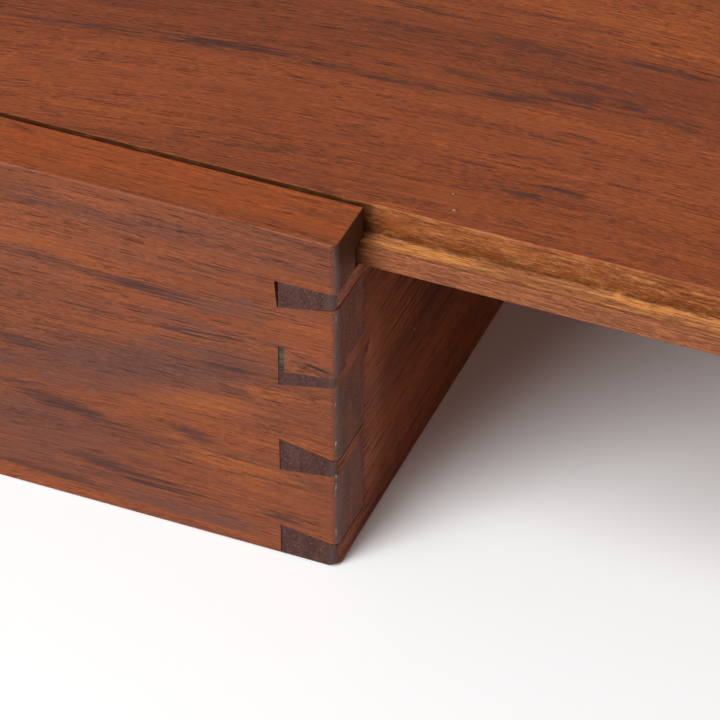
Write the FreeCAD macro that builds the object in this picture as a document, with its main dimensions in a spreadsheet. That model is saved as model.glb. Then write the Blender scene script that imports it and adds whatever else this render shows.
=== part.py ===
"""Dovetailed wooden box with a sliding lid, for papers and keepsakes.

The long sides carry the tails and the end boards carry the pins.  The lid has a tongue
along both edges and its far end, and runs in grooves just below the top of the sides.
It leaves over the low end board.  Units are millimetres, +Z is up and +X points to the
low end.  The origin is the middle of the underside.
"""

import FreeCAD, Part
import os

import Sketcher

X_AXIS = FreeCAD.Vector(1, 0, 0)
Y_AXIS = FreeCAD.Vector(0, 1, 0)
Z_AXIS = FreeCAD.Vector(0, 0, 1)
ORIGIN_POINT = (-1, 1)     # how a sketch constraint names the sketch's own origin
HALF_TURN = 180
TOUCH = 1e-6               # how near a point lies to a plane to count as on it

# ---------------------------------------------------------------- driving dimensions
DRIVING_SIZES = {
    # case
    "box_length": 260.0,
    "box_width": 180.0,
    "box_height": 60.0,
    "side_wall": 10.0,
    "end_wall": 9.0,
    "panel_thickness": 4.0,
    "panel_lap": 4.0,          # how far the bottom panel reaches under each wall
    # sanded outer arrises of the case
    "corner_radius": 1.1,
    "foot_radius": 0.4,
    "foot_ease": 1.1,          # how much rounder the corners are where they meet the ground
    "rim_radius": 0.25,
    # lid and the groove that it runs in
    "lid_thickness": 8.6,
    "tongue_thickness": 3.4,
    "tongue_reach": 3.3,       # how far the tongue stands out from the lid's body
    "groove_depth": 3.2,
    "running_play": 0.2,       # free height under the tongue, and again above it
    "edge_gap": 1.1,           # between the lid's body and the inner face of a wall
    "cove_radius": 0.4,
    "lip_arris": 0.2,          # eased inner edges of the lips above the grooves
    "lid_arris": 0.2,
    "tongue_arris": 0.25,
    "lid_drawn": 85.0,         # how far the lid stands open at rest
    "scoop_width": 32.0,
    "scoop_depth": 2.2,
    "scoop_setback": 28.0,     # from the lid's front edge to the middle of the scoop
    # dovetails, measured at the outer end of the joint
    "pin_width": 2.8,
    "bottom_pin": 4.4,
    "top_pin": 2.8,
    "lower_drift": 0.5,        # how far each marked pin lies above even spacing
    "upper_drift": 1.6,
    # slope of each flank, in millimetres of height for each millimetre of wall
    "bottom_slope": 0.133,
    "lower_under_slope": 0.156,
    "lower_over_slope": 0.19,
    "upper_under_slope": 0.222,
    "upper_over_slope": 0.256,
    "top_slope": 0.2,
    # where the hand-cut joint stands open
    "flank_gap": 0.28,
    "gap_share": 0.6,          # share of the wall over which an open flank tapers
    "baseline_gap": 0.12,      # sawn past the baseline of every socket in a side
    "shoulder_gap": 0.08,      # between the tails' inner faces and an end board
    "overcut_above": 0.6,      # top socket of the low end, sawn further past
    "overcut_below": 0.2,
    # repaired pin at the front of the low end
    "patch_depth": 3.5,
    "patch_height": 1.1,       # height of the patch at the outer end
    "patch_slope": 0.125,
    "filler_width": 0.8,
}

document = FreeCAD.newDocument("SlidingLidBox")
sheet = document.addObject("Spreadsheet::Sheet", "Sizes")
for row, (alias, millimetres) in enumerate(DRIVING_SIZES.items(), start=1):
    sheet.set(f"A{row}", alias)
    sheet.set(f"B{row}", str(millimetres))
    sheet.setAlias(f"B{row}", alias)
document.recompute()


# ---------------------------------------------------------------- derived expressions
def size(alias):
    """Expression for one driving dimension."""
    return f"Sizes.{alias}"


HALF_LENGTH = f"({size('box_length')} / 2)"
HALF_WIDTH = f"({size('box_width')} / 2)"
TOP = size("box_height")
LID_UNDERSIDE = f"({TOP} - {size('lid_thickness')})"
GROOVE_FLOOR = f"({LID_UNDERSIDE} - {size('running_play')})"
GROOVE_ROOF = f"({LID_UNDERSIDE} + {size('tongue_thickness')} + {size('running_play')})"
END_WALL = size("end_wall")
SIDE_WALL = size("side_wall")
ZERO = "0"

PIN_WIDTH = size("pin_width")
TAIL_WIDTH = f"(({GROOVE_FLOOR} - {size('bottom_pin')} - {size('top_pin')} - 2 * {PIN_WIDTH}) / 3)"
LOWER_PIN = f"({size('bottom_pin')} + {TAIL_WIDTH} + {size('lower_drift')})"
UPPER_PIN = f"({size('bottom_pin')} + 2 * {TAIL_WIDTH} + {PIN_WIDTH} + {size('upper_drift')})"
TOP_PIN = f"({GROOVE_FLOOR} - {size('top_pin')})"


def rise(slope):
    """Expression for how much a flank climbs across the whole end wall."""
    return f"{size(slope)} * {END_WALL}"


class Flank:
    """One sloping face of a pin, at a known height at the outer end of the joint."""

    def __init__(self, outer, slope=None, upward=True, opens=False):
        self.outer = outer
        self.slope = slope
        self.sign = "+" if upward else "-"
        self.away = "-" if upward else "+"
        self.opens = opens

    def base(self):
        """Height where the flank meets the body of the end board."""
        if self.slope is None:
            return self.outer
        return f"({self.outer} {self.sign} {rise(self.slope)})"

    def socket_corners(self, end_face, baseline, bottom):
        """Corners of a side's socket along this flank, from the end face to the bottom."""
        corners = [(end_face, self.outer)]
        if self.slope is not None:
            corners.append((baseline, self.base()))
        corners.append((bottom, self.base()))
        return corners

    def pin_corners(self):
        """Corners of the pin along this flank, from its base to its outer end."""
        corners = [(ZERO, self.base())]
        if self.opens:
            opening_run = f"{size('gap_share')} * {END_WALL}"
            knee_height = f"({self.outer} {self.sign} {size(self.slope)} * {opening_run})"
            corners.append((f"({END_WALL} - {opening_run})", knee_height))
            corners.append((END_WALL, f"({self.outer} {self.away} {size('flank_gap')})"))
        else:
            corners.append((END_WALL, self.outer))
        return corners


class Pin:
    """One pin of an end board, between two flanks."""

    def __init__(self, under, over):
        self.under = under
        self.over = over

    def outline(self):
        """Closed outline of the pin, seen from the long side of the box."""
        return self.under.pin_corners() + self.over.pin_corners()[::-1]

    def socket_outline(self, end, above="baseline_gap", below="baseline_gap"):
        """Corners that a side board follows round this pin, from the top down."""
        over = self.over.socket_corners(end.face, end.baseline, end.past_baseline(above))
        under = self.under.socket_corners(end.face, end.baseline, end.past_baseline(below))
        return over + under[::-1]


class SideEnd:
    """One end of a side board: its face, its baseline and the way into the board."""

    def __init__(self, outward):
        inward = "-" if outward == "+" else "+"
        self.inward = inward
        self.face = f"(0 {outward} {HALF_LENGTH})"
        self.baseline = f"({self.face} {inward} {END_WALL})"

    def past_baseline(self, gap):
        """Place where a saw cut ends that runs past the baseline."""
        return f"({self.baseline} {self.inward} {size(gap)})"


BOTTOM_HALF_PIN = Pin(Flank(ZERO), Flank(size("bottom_pin"), "bottom_slope", opens=True))
LOWER_WHOLE_PIN = Pin(
    Flank(LOWER_PIN, "lower_under_slope", upward=False),
    Flank(f"({LOWER_PIN} + {PIN_WIDTH})", "lower_over_slope", opens=True),
)
UPPER_WHOLE_PIN = Pin(
    Flank(UPPER_PIN, "upper_under_slope", upward=False),
    Flank(f"({UPPER_PIN} + {PIN_WIDTH})", "upper_over_slope"),
)
TOP_FLANK = Flank(TOP_PIN, "top_slope", upward=False, opens=True)
LOW_END_PINS = [BOTTOM_HALF_PIN, LOWER_WHOLE_PIN, UPPER_WHOLE_PIN, Pin(TOP_FLANK, Flank(GROOVE_FLOOR))]
HIGH_END_PINS = [BOTTOM_HALF_PIN, LOWER_WHOLE_PIN, UPPER_WHOLE_PIN, Pin(TOP_FLANK, Flank(TOP))]


# ---------------------------------------------------------------- modelling helpers
def new_body(name):
    """Empty body for one board."""
    return document.addObject("PartDesign::Body", name)


def new_sketch(body, role, name):
    """Sketch on one of the body's own origin planes."""
    plane = next(item for item in body.Origin.OriginFeatures if item.Role == role)
    sketch = body.newObject("Sketcher::SketchObject", name)
    sketch.AttachmentSupport = [(plane, "")]
    sketch.MapMode = "FlatFace"
    return sketch


def draw_outline(sketch, corners):
    """Closed straight outline whose corners are held at the given expressions."""
    points = []
    for across, upward in corners:
        points.append(FreeCAD.Vector(sheet.evalExpression(across), sheet.evalExpression(upward), 0))
    first = sketch.GeometryCount
    for start, end in zip(points, points[1:] + points[:1]):
        sketch.addGeometry(Part.LineSegment(start, end), False)
    for index, (across, upward) in enumerate(corners):
        line = first + index
        next_line = first + (index + 1) % len(corners)
        sketch.addConstraint(Sketcher.Constraint("Coincident", line, 2, next_line, 1))
        for kind, expression, start in (
            ("DistanceX", across, points[index].x),
            ("DistanceY", upward, points[index].y),
        ):
            number = sketch.addConstraint(Sketcher.Constraint(kind, *ORIGIN_POINT, line, 1, start))
            sketch.setExpression(f"Constraints[{number}]", expression)


def rectangle(west, south, east, north):
    """Corners of an upright rectangle."""
    return [(west, south), (east, south), (east, north), (west, north)]


def pad(body, sketch, length, symmetric=False, reverse=False):
    """Pad a sketch by an expression."""
    feature = body.newObject("PartDesign::Pad", f"{sketch.Name}Pad")
    feature.Profile = sketch
    feature.setExpression("Length", length)
    feature.SideType = "Symmetric" if symmetric else "One side"
    feature.Reversed = reverse
    document.recompute()
    return feature


def pocket(body, sketch, length, symmetric=False, reverse=False):
    """Cut a sketch into the body by an expression, and make sure that it cuts."""
    before = body.Shape.Volume
    feature = body.newObject("PartDesign::Pocket", f"{sketch.Name}Pocket")
    feature.Profile = sketch
    feature.setExpression("Length", length)
    feature.SideType = "Symmetric" if symmetric else "One side"
    feature.Reversed = reverse
    document.recompute()
    if body.Shape.Volume >= before:
        raise RuntimeError(f"{feature.Name} cuts nothing")
    return feature


def fillet(body, name, radius, wanted):
    """Round every edge of the body that the test picks."""
    base = body.Tip
    picked = []
    for number, edge in enumerate(base.Shape.Edges, start=1):
        if wanted(edge):
            picked.append(f"Edge{number}")
    feature = body.newObject("PartDesign::Fillet", name)
    feature.Base = (base, picked)
    feature.setExpression("Radius", radius)
    document.recompute()
    return feature


def lies_at_height(edge, height):
    """True for an edge that lies wholly at one height."""
    return all(abs(vertex.Z - height) < TOUCH for vertex in edge.Vertexes)


def is_on_lip(edge, inward):
    """True for an edge of the lip over a groove, on the plane of the board's inner face."""
    middle = edge.CenterOfMass
    lip_heights = (sheet.evalExpression(TOP), sheet.evalExpression(GROOVE_ROOF))
    on_inner_face = abs(middle.dot(inward)) < TOUCH
    return on_inner_face and any(lies_at_height(edge, height) for height in lip_heights)


def is_upright(edge):
    """True for a straight edge that runs up."""
    box = edge.BoundBox
    return box.ZLength > TOUCH and box.XLength < TOUCH and box.YLength < TOUCH


def place(item, across=ZERO, depth=ZERO, height=ZERO):
    """Bind a piece's place to three expressions."""
    item.setExpression("Placement.Base.x", across)
    item.setExpression("Placement.Base.y", depth)
    item.setExpression("Placement.Base.z", height)
    document.recompute()


GROOVE_DEPTH = size("groove_depth")
GROOVE_SECTION = rectangle(f"-{GROOVE_DEPTH}", GROOVE_FLOOR, GROOVE_DEPTH, GROOVE_ROOF)


# ---------------------------------------------------------------- the sanded outer form
def sanded_case():
    """Whole outside of the case with its arrises sanded round."""
    body = new_body("SandedCase")
    sketch = new_sketch(body, "XY_Plane", "SandedCaseOutline")
    draw_outline(sketch, rectangle(f"-{HALF_LENGTH}", f"-{HALF_WIDTH}", HALF_LENGTH, HALF_WIDTH))
    pad(body, sketch, TOP)
    top_height = sheet.evalExpression(TOP)
    fillet(body, "CaseCorners", size("corner_radius"), is_upright)
    fillet(body, "CaseFoot", size("foot_radius"), lambda edge: lies_at_height(edge, 0))
    fillet(body, "CaseRim", size("rim_radius"), lambda edge: lies_at_height(edge, top_height))
    return body


def eased_foot():
    """Larger rounded block that takes only the four corners of the foot off the case.

    It stands out from the case by foot_ease.  Fillets of (2 + sqrt(2)) times that touch
    the case's straight foot edges and cut in only where three faces meet.
    """
    body = new_body("EasedFoot")
    sketch = new_sketch(body, "XY_Plane", "EasedFootOutline")
    half_long = f"({HALF_LENGTH} + {size('foot_ease')})"
    half_wide = f"({HALF_WIDTH} + {size('foot_ease')})"
    draw_outline(sketch, rectangle(f"-{half_long}", f"-{half_wide}", half_long, half_wide))
    pad(body, sketch, f"{TOP} + 2 * {size('foot_ease')}")
    radius = f"{size('foot_ease')} * (2 + sqrt(2))"
    fillet(body, "EasedCorners", radius, is_upright)
    fillet(body, "EasedUnderside", radius, lambda edge: lies_at_height(edge, 0))
    place(body, height=f"-{size('foot_ease')}")
    return body


def outer_form():
    """Outside of the case that all its boards share."""
    form = document.addObject("Part::Common", "OuterForm")
    form.Base = sanded_case()
    form.Tool = eased_foot()
    document.recompute()
    return form


def sanded(piece, label):
    """The piece with its outer arrises cut back to the case's rounded form."""
    finished = document.addObject("Part::Common", label)
    finished.Base = piece
    finished.Tool = OUTER_FORM
    finished.Label = label
    document.recompute()
    return finished


# ---------------------------------------------------------------- case
def front_side():
    """Long tail board at the front; its inner face lies on its own XZ plane."""
    body = new_body("FrontSideBoard")
    low_end = SideEnd("+")
    high_end = SideEnd("-")
    low_edge = [(low_end.face, TOP)]
    low_edge += LOW_END_PINS[-1].socket_outline(low_end, "overcut_above", "overcut_below")
    for pin in reversed(LOW_END_PINS[:-1]):
        low_edge += pin.socket_outline(low_end)
    high_edge = []
    for pin in reversed(HIGH_END_PINS):
        high_edge += pin.socket_outline(high_end)
    # The lowest socket opens downwards and the highest of the high end opens upwards.
    outline = low_edge[:-1] + high_edge[1:-1][::-1]
    sketch = new_sketch(body, "XZ_Plane", "SideOutline")
    draw_outline(sketch, outline)
    pad(body, sketch, SIDE_WALL)

    groove = new_sketch(body, "YZ_Plane", "SideGroove")
    draw_outline(groove, GROOVE_SECTION)
    pocket(body, groove, f"2 * {size('box_length')}", symmetric=True)

    rebate = new_sketch(body, "XY_Plane", "SideRebate")
    reach = f"({HALF_LENGTH} - {END_WALL} + {size('panel_lap')})"
    draw_outline(rebate, rectangle(f"-{reach}", f"-{size('panel_lap')}", reach, size("panel_lap")))
    pocket(body, rebate, size("panel_thickness"), reverse=True)
    fillet(body, "SideLipArris", size("lip_arris"), lambda edge: is_on_lip(edge, Y_AXIS))
    place(body, depth=f"{SIDE_WALL} - {HALF_WIDTH}")
    return body


def back_side(front):
    """Long tail board at the back, the front one's mirror image."""
    mirrored = document.addObject("Part::Mirroring", "back_side")
    mirrored.Source = front
    mirrored.Base = FreeCAD.Vector(0, 0, 0)
    mirrored.Normal = Y_AXIS
    mirrored.Label = "back_side"
    document.recompute()
    return mirrored


def end_board(name, top, pins):
    """Pin board; its inner face lies on its own YZ plane and +X points outwards."""
    body = new_body(name)
    board = new_sketch(body, "YZ_Plane", f"{name}Face")
    inner_half = f"({HALF_WIDTH} - {SIDE_WALL} - {size('shoulder_gap')})"
    draw_outline(board, rectangle(f"-{inner_half}", ZERO, inner_half, top))
    pad(body, board, END_WALL)
    for number, pin in enumerate(pins):
        outline = new_sketch(body, "XZ_Plane", f"{name}Pin{number}")
        draw_outline(outline, pin.outline())
        pad(body, outline, size("box_width"), symmetric=True)

    rebate = new_sketch(body, "XY_Plane", f"{name}Rebate")
    reach = f"({HALF_WIDTH} - {SIDE_WALL} + {size('panel_lap')})"
    draw_outline(rebate, rectangle(f"-{size('panel_lap')}", f"-{reach}", size("panel_lap"), reach))
    pocket(body, rebate, size("panel_thickness"), reverse=True)
    return body


def front_face_sketch(body, name, corners):
    """Outline on the front face of the case, in the low end board's frame."""
    sketch = new_sketch(body, "XZ_Plane", name)
    sketch.setExpression("AttachmentOffset.Base.z", HALF_WIDTH)
    draw_outline(sketch, corners)
    return sketch


def repair_height(run, flank):
    """Height of one edge of the repair, at a distance in from the outer end."""
    if flank == "over":
        return f"({UPPER_PIN} + {PIN_WIDTH} + {size('upper_over_slope')} * {run})"
    split = f"({UPPER_PIN} + {PIN_WIDTH} - {size('patch_height')})"
    return f"({split} - {size('patch_slope')} * {run})"


def repair_outline(inner_run, outer_run):
    """Four corners of the repair between two distances in from the outer end."""
    return [
        (f"({END_WALL} - {inner_run})", repair_height(inner_run, "split")),
        (f"({END_WALL} - {outer_run})", repair_height(outer_run, "split")),
        (f"({END_WALL} - {outer_run})", repair_height(outer_run, "over")),
        (f"({END_WALL} - {inner_run})", repair_height(inner_run, "over")),
    ]


def low_end_board():
    """Pin board that the lid passes over, with a repair let into its upper front pin."""
    body = end_board("LowEnd", GROOVE_FLOOR, LOW_END_PINS)
    recess = front_face_sketch(body, "RepairRecess", repair_outline(END_WALL, ZERO))
    pocket(body, recess, size("patch_depth"))
    place(body, across=f"{HALF_LENGTH} - {END_WALL}")
    return body


def high_end_board():
    """Pin board at the closed end, grooved for the tongue across the lid's end."""
    body = end_board("HighEnd", TOP, HIGH_END_PINS)
    groove = new_sketch(body, "XZ_Plane", "HighEndGroove")
    draw_outline(groove, GROOVE_SECTION)
    pocket(body, groove, f"2 * ({HALF_WIDTH} - {SIDE_WALL} + {size('groove_depth')})", symmetric=True)
    fillet(body, "HighEndLipArris", size("lip_arris"), lambda edge: is_on_lip(edge, X_AXIS))
    body.Placement.Rotation = FreeCAD.Rotation(Z_AXIS, HALF_TURN)
    place(body, across=f"{END_WALL} - {HALF_LENGTH}")
    return body


def repair_piece(name, inner_run, outer_run):
    """Piece that fills part of the recess in the upper front pin."""
    body = new_body(name)
    outline = front_face_sketch(body, f"{name}Outline", repair_outline(inner_run, outer_run))
    pad(body, outline, size("patch_depth"), reverse=True)
    place(body, across=f"{HALF_LENGTH} - {END_WALL}")
    return body


def bottom_panel():
    """Loose panel in the rebates, flush with the underside."""
    body = new_body("BottomPanel")
    sketch = new_sketch(body, "XY_Plane", "PanelOutline")
    half_long = f"({HALF_LENGTH} - {END_WALL} + {size('panel_lap')})"
    half_wide = f"({HALF_WIDTH} - {SIDE_WALL} + {size('panel_lap')})"
    draw_outline(sketch, rectangle(f"-{half_long}", f"-{half_wide}", half_long, half_wide))
    pad(body, sketch, size("panel_thickness"))
    body.Label = "bottom_panel"
    return body


# ---------------------------------------------------------------- lid
def sliding_lid():
    """Lid with a coved tongue round three edges, drawn partly out of its grooves."""
    body = new_body("SlidingLid")
    front = HALF_LENGTH
    body_end = f"({END_WALL} + {size('edge_gap')} - {HALF_LENGTH})"
    body_half = f"({HALF_WIDTH} - {SIDE_WALL} - {size('edge_gap')})"
    tongue_end = f"({body_end} - {size('tongue_reach')})"
    tongue_half = f"({body_half} + {size('tongue_reach')})"

    tongue = new_sketch(body, "XY_Plane", "LidTongue")
    draw_outline(tongue, rectangle(tongue_end, f"-{tongue_half}", front, tongue_half))
    pad(body, tongue, size("tongue_thickness"))
    board = new_sketch(body, "XY_Plane", "LidBoard")
    draw_outline(board, rectangle(body_end, f"-{body_half}", front, body_half))
    pad(body, board, size("lid_thickness"))

    tongue_top = sheet.evalExpression(size("tongue_thickness"))
    lid_top = sheet.evalExpression(size("lid_thickness"))
    half_wide = sheet.evalExpression(body_half)
    back_end = sheet.evalExpression(body_end)
    outer_half = sheet.evalExpression(tongue_half)
    outer_end = sheet.evalExpression(tongue_end)

    def in_corner(edge):
        """True for an edge where the tongue meets the lid's body."""
        if not lies_at_height(edge, tongue_top):
            return False
        middle = edge.CenterOfMass
        return abs(abs(middle.y) - half_wide) < TOUCH or abs(middle.x - back_end) < TOUCH

    def on_tongue_rim(edge):
        """True for an outer edge of the tongue, above or below."""
        if not (lies_at_height(edge, tongue_top) or lies_at_height(edge, 0)):
            return False
        middle = edge.CenterOfMass
        return abs(abs(middle.y) - outer_half) < TOUCH or abs(middle.x - outer_end) < TOUCH

    fillet(body, "LidCove", size("cove_radius"), in_corner)
    fillet(body, "LidTopArris", size("lid_arris"), lambda edge: lies_at_height(edge, lid_top))
    fillet(body, "TongueArris", size("tongue_arris"), on_tongue_rim)

    scoop = body.newObject("PartDesign::SubtractiveSphere", "ThumbScoop")
    radius = f"(({size('scoop_width')} / 2) ^ 2 + {size('scoop_depth')} ^ 2) / (2 * {size('scoop_depth')})"
    scoop.setExpression("Radius", radius)
    scoop.setExpression("Placement.Base.x", f"{front} - {size('scoop_setback')}")
    scoop.setExpression("Placement.Base.z", f"{size('lid_thickness')} + {radius} - {size('scoop_depth')}")
    document.recompute()
    place(body, across=size("lid_drawn"), height=LID_UNDERSIDE)
    body.Label = "sliding_lid"
    return body


# ---------------------------------------------------------------- the whole box
OUTER_FORM = outer_form()
front = sanded(front_side(), "front_side")
pieces = [
    front,
    back_side(front),
    sanded(low_end_board(), "low_end_board"),
    sanded(high_end_board(), "high_end_board"),
    bottom_panel(),
    sliding_lid(),
    sanded(repair_piece("PinPatch", f"({END_WALL} - {size('filler_width')})", ZERO), "pin_patch"),
    sanded(repair_piece("JointFiller", END_WALL, f"({END_WALL} - {size('filler_width')})"), "joint_filler"),
]
document.recompute()

for item in document.Objects:
    if "Invalid" in item.State or "Error" in item.State:
        raise RuntimeError(f"{item.Label} did not build: {item.State}")
for piece in pieces:
    if piece.Shape.isNull() or not piece.Shape.isValid():
        raise RuntimeError(f"{piece.Label} has no valid shape")
    if len(piece.Shape.Solids) != 1:
        raise RuntimeError(f"{piece.Label} is not one solid")

os.makedirs("parts", exist_ok=True)
for piece in pieces:
    piece.Shape.exportStep(f"parts/{piece.Label}.step")
    print(piece.Label, round(piece.Shape.Volume, 1), piece.Shape.BoundBox)
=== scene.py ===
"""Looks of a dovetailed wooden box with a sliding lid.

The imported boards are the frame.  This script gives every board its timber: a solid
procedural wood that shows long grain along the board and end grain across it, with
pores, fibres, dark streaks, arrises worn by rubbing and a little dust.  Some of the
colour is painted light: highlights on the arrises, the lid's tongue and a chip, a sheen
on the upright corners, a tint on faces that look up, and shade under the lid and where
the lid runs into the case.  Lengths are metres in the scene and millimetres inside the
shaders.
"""

import logging
import math
from dataclasses import dataclass, field, replace
from enum import Enum
from typing import Any, Dict, Sequence, Tuple

import bpy
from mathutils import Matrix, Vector

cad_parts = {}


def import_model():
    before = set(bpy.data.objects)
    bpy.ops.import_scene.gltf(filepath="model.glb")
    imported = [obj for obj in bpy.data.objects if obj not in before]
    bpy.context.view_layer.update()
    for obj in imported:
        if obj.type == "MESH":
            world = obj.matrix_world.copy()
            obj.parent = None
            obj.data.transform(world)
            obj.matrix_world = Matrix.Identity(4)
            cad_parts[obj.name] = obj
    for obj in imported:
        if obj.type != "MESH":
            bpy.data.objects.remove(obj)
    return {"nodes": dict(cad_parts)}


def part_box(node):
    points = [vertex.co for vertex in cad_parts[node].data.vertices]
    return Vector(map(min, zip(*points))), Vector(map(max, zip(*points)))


Colour = Tuple[float, float, float]
Triple = Tuple[float, float, float]
Socket = bpy.types.NodeSocket

MM = 0.001
MM_PER_METRE = 1000.0
NUMBER = "NodeSocketFloat"
VECTOR = "NodeSocketVector"
WHITE: Colour = (1.0, 1.0, 1.0)
DUST_COLOUR: Colour = (0.62, 0.45, 0.40)
WOOD_IOR = 1.45
PORE_DEPTH = 0.1 * MM
PORE_RELIEF = 0.4
PORE_ROUGHNESS = 0.25
# part of a face's normal along the grain, and upwards, over which one look turns to the other
LONG_TO_END = (0.35, 0.75)
SIDE_TO_TOP = (0.5, 0.9)
log = logging.getLogger("box")


class GrainFrame(Enum):
    """Row axes that run along, across and through a board's grain."""

    UPRIGHT_ALONG_BOX = ("X", "Z", "Y")
    FLAT_ALONG_BOX = ("X", "Y", "Z")
    UPRIGHT_ACROSS_BOX = ("Y", "Z", "X")


@dataclass(frozen=True)
class PoreSize:
    """One size of pore in long grain.

    Attributes:
        stretch: Cells per millimetre along, across and through the grain.
        radius: Half width of a pore as a share of its cell.
        count: How many of the cells show a pore, against the other sizes.
    """

    stretch: Triple
    radius: float
    count: float


PORE_SIZES = (
    PoreSize(stretch=(0.14, 3.6, 3.6), radius=0.33, count=0.55),
    PoreSize(stretch=(0.34, 4.6, 4.6), radius=0.37, count=0.22),
    PoreSize(stretch=(0.075, 3.2, 3.2), radius=0.26, count=1.4),
    PoreSize(stretch=(0.03, 2.6, 2.6), radius=0.19, count=2.7),
)


# ------------------------------------------------------------------ node wiring
class Wiring:
    """Adds shader nodes to one tree and joins them."""

    def __init__(self, tree: bpy.types.NodeTree) -> None:
        """Keep the tree that is being wired.

        Args:
            tree: Shader node tree of a material or a group.
        """
        self.tree = tree

    def node(self, kind: str) -> bpy.types.Node:
        """Add one node of the given type."""
        return self.tree.nodes.new(kind)

    def feed(self, socket: Socket, value: Any) -> None:
        """Join a socket to another, or set its value.

        Args:
            socket: Input to feed.
            value: Output socket, number, triple or colour.
        """
        if isinstance(value, bpy.types.NodeSocket):
            self.tree.links.new(value, socket)
        elif socket.type == "RGBA":
            socket.default_value = (*value, 1.0)
        else:
            socket.default_value = value

    def maths(self, operation: str, *values: Any, clamp: bool = False) -> Socket:
        """Apply a Math node to up to three values.

        Args:
            operation: Name of the operation.
            *values: Sockets or numbers, in the node's order.
            clamp: Whether the result is kept between 0 and 1.

        Returns:
            The result.
        """
        node = self.node("ShaderNodeMath")
        node.operation = operation
        node.use_clamp = clamp
        for socket, value in zip(node.inputs, values):
            self.feed(socket, value)
        return node.outputs[0]

    def times(self, *values: Any) -> Socket:
        """Multiply any number of values.

        Args:
            *values: Sockets or numbers.

        Returns:
            Their product.
        """
        product = values[0]
        for value in values[1:]:
            product = self.maths("MULTIPLY", product, value)
        return product

    def weighted(self, *pairs: Tuple[Any, float]) -> Socket:
        """Add up values that are each multiplied by a weight.

        Args:
            *pairs: Each value with its weight.

        Returns:
            The weighted sum.
        """
        total: Any = 0.0
        for value, weight in pairs:
            total = self.maths("MULTIPLY_ADD", value, weight, total)
        return total

    def vector(self, operation: str, *values: Any) -> Socket:
        """Apply a Vector Math node to up to two vectors.

        Args:
            operation: Name of the operation.
            *values: Sockets or triples.

        Returns:
            The resulting vector.
        """
        node = self.node("ShaderNodeVectorMath")
        node.operation = operation
        for socket, value in zip(node.inputs, values):
            self.feed(socket, value)
        return node.outputs[0]

    def split(self, vector: Socket) -> Sequence[Socket]:
        """Take a vector apart.

        Args:
            vector: Vector to split.

        Returns:
            Its three numbers.
        """
        node = self.node("ShaderNodeSeparateXYZ")
        self.feed(node.inputs[0], vector)
        return node.outputs

    def join(self, first: Any, second: Any, third: Any) -> Socket:
        """Put three numbers together.

        Args:
            first: Number on the first axis.
            second: Number on the second axis.
            third: Number on the third axis.

        Returns:
            The vector.
        """
        node = self.node("ShaderNodeCombineXYZ")
        for socket, value in zip(node.inputs, (first, second, third)):
            self.feed(socket, value)
        return node.outputs[0]

    def noise(self, place: Socket, stretch: Triple, detail: float = 2.0, rough: float = 0.5) -> Socket:
        """Fractal noise of a place that is first stretched.

        Args:
            place: Place in millimetres.
            stretch: Cycles per millimetre on its three axes.
            detail: Octaves of finer noise.
            rough: Share that each finer octave keeps.

        Returns:
            Noise between 0 and 1.
        """
        node = self.node("ShaderNodeTexNoise")
        self.feed(node.inputs["Vector"], self.vector("MULTIPLY", place, stretch))
        node.inputs["Scale"].default_value = 1.0
        node.inputs["Detail"].default_value = detail
        node.inputs["Roughness"].default_value = rough
        return node.outputs["Fac"]

    def cells(self, place: Socket, stretch: Triple) -> Tuple[Socket, Socket, Socket]:
        """Scattered cell centres in a stretched place.

        Args:
            place: Place in millimetres.
            stretch: Cells per millimetre on the three axes.

        Returns:
            Distance to the nearest centre, and two random numbers of its cell.
        """
        node = self.node("ShaderNodeTexVoronoi")
        self.feed(node.inputs["Vector"], self.vector("MULTIPLY", place, stretch))
        node.inputs["Scale"].default_value = 1.0
        channels = self.split(node.outputs["Color"])
        return node.outputs["Distance"], channels[0], channels[1]

    def fade(self, value: Any, start: Any, end: Any) -> Socket:
        """Take a smooth step between two bounds, of which the first may be the higher.

        Args:
            value: Value to judge.
            start: Value that gives 0.
            end: Value that gives 1.

        Returns:
            Share between 0 and 1.
        """
        node = self.node("ShaderNodeMapRange")
        node.interpolation_type = "SMOOTHSTEP"
        self.feed(node.inputs["Value"], value)
        self.feed(node.inputs["From Min"], start)
        self.feed(node.inputs["From Max"], end)
        return node.outputs["Result"]

    def blend(self, share: Any, first: Any, second: Any) -> Socket:
        """Mix two colours.

        Args:
            share: How much of the second colour.
            first: Colour at share 0.
            second: Colour at share 1.

        Returns:
            The mixed colour.
        """
        node = self.node("ShaderNodeMix")
        node.data_type = "RGBA"
        colours = [socket for socket in node.inputs if socket.type == "RGBA"]
        self.feed(node.inputs[0], share)
        self.feed(colours[0], first)
        self.feed(colours[1], second)
        return next(socket for socket in node.outputs if socket.type == "RGBA")

    def scaled(self, colour: Any, factor: Any) -> Socket:
        """Colour times a number."""
        return self.vector("MULTIPLY", colour, self.join(factor, factor, factor))

    def effect(self, group: bpy.types.NodeTree, **values: Any) -> Dict[str, Socket]:
        """Place a shared effect in this tree.

        Args:
            group: The effect's node group.
            **values: Its inputs by name, with underscores for spaces.

        Returns:
            The group's outputs by name.
        """
        node = self.node("ShaderNodeGroup")
        node.node_tree = group
        for name, value in values.items():
            self.feed(node.inputs[name.replace("_", " ")], value)
        return {socket.name: socket for socket in node.outputs}


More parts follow.
